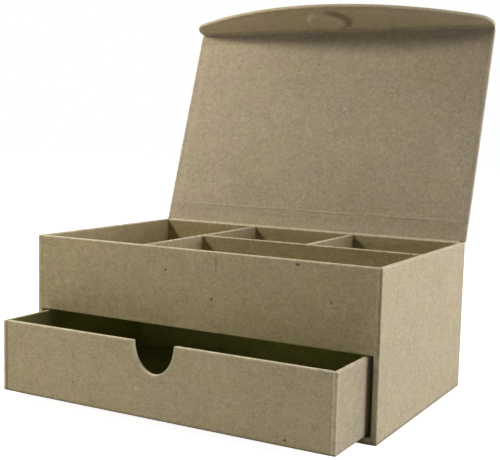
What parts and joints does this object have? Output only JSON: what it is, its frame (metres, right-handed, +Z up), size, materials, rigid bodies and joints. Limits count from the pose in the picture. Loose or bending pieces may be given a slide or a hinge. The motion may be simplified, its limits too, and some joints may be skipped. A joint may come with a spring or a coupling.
{
  "type": "jewelry box with drawer",
  "caption": "Wrapped kraft board jewellery box: divided tray under a hinged lid with a magnetic front flap, over a pull-out drawer with a thumb notch.",
  "frame": {"origin": "middle of the underside of the case's base", "axes": "+X along the front to the right as seen from the front, +Y from the front to the back, +Z up"},
  "size_m": [0.24, 0.24, 0.2607],
  "materials": {
    "case_kraft": "matt brown kraft paper over greyboard",
    "tray_kraft": "matt brown kraft paper over greyboard",
    "lid_kraft": "matt brown kraft paper, faintly wrinkled",
    "drawer_kraft": "matt brown kraft paper over greyboard",
    "hinge_paper": "folded kraft paper",
    "steel": "plated"
  },
  "bodies": {
    "box": {"base_board": "case_kraft", "left_wall": "case_kraft", "right_wall": "case_kraft", "back_wall": "case_kraft", "front_panel": "case_kraft", "keeper_plate": "steel", "keeper_plug": "tray_kraft", "tray_floor": "tray_kraft", "main_divider": "tray_kraft", "short_divider": "tray_kraft", "long_divider": "tray_kraft", "hinge_strip": "hinge_paper", "spine_strip": "hinge_paper"},
    "lid": {"lid_board": "lid_kraft", "lid_lining": "lid_kraft", "fold_strip_outer": "hinge_paper", "fold_strip_inner": "hinge_paper"},
    "flap": {"flap_board": "lid_kraft", "flap_lining": "lid_kraft", "clasp_magnet": "steel"},
    "drawer": {"drawer_front": "drawer_kraft", "drawer_back": "drawer_kraft", "drawer_left": "drawer_kraft", "drawer_right": "drawer_kraft", "drawer_bottom": "drawer_kraft"}
  },
  "joints": [
    {"name": "lid_hinge", "type": "hinge", "parent": "box", "child": "lid", "pos_m": [0, 0.07535, 0.0983], "axis": [-1, 0, 0], "range_deg": [-107.8, 0], "deforming": ["hinge_strip", "spine_strip"]},
    {"name": "flap_hinge", "type": "hinge", "parent": "lid", "child": "flap", "pos_m": [0, 0.12242, 0.24456], "axis": [1, 0, 0], "range_deg": [-87, 5], "deforming": ["fold_strip_outer", "fold_strip_inner"]},
    {"name": "drawer_slide", "type": "slide", "parent": "box", "child": "drawer", "axis": [0, -1, 0], "range_m": [-0.0395, 0.0855]}
  ]
}
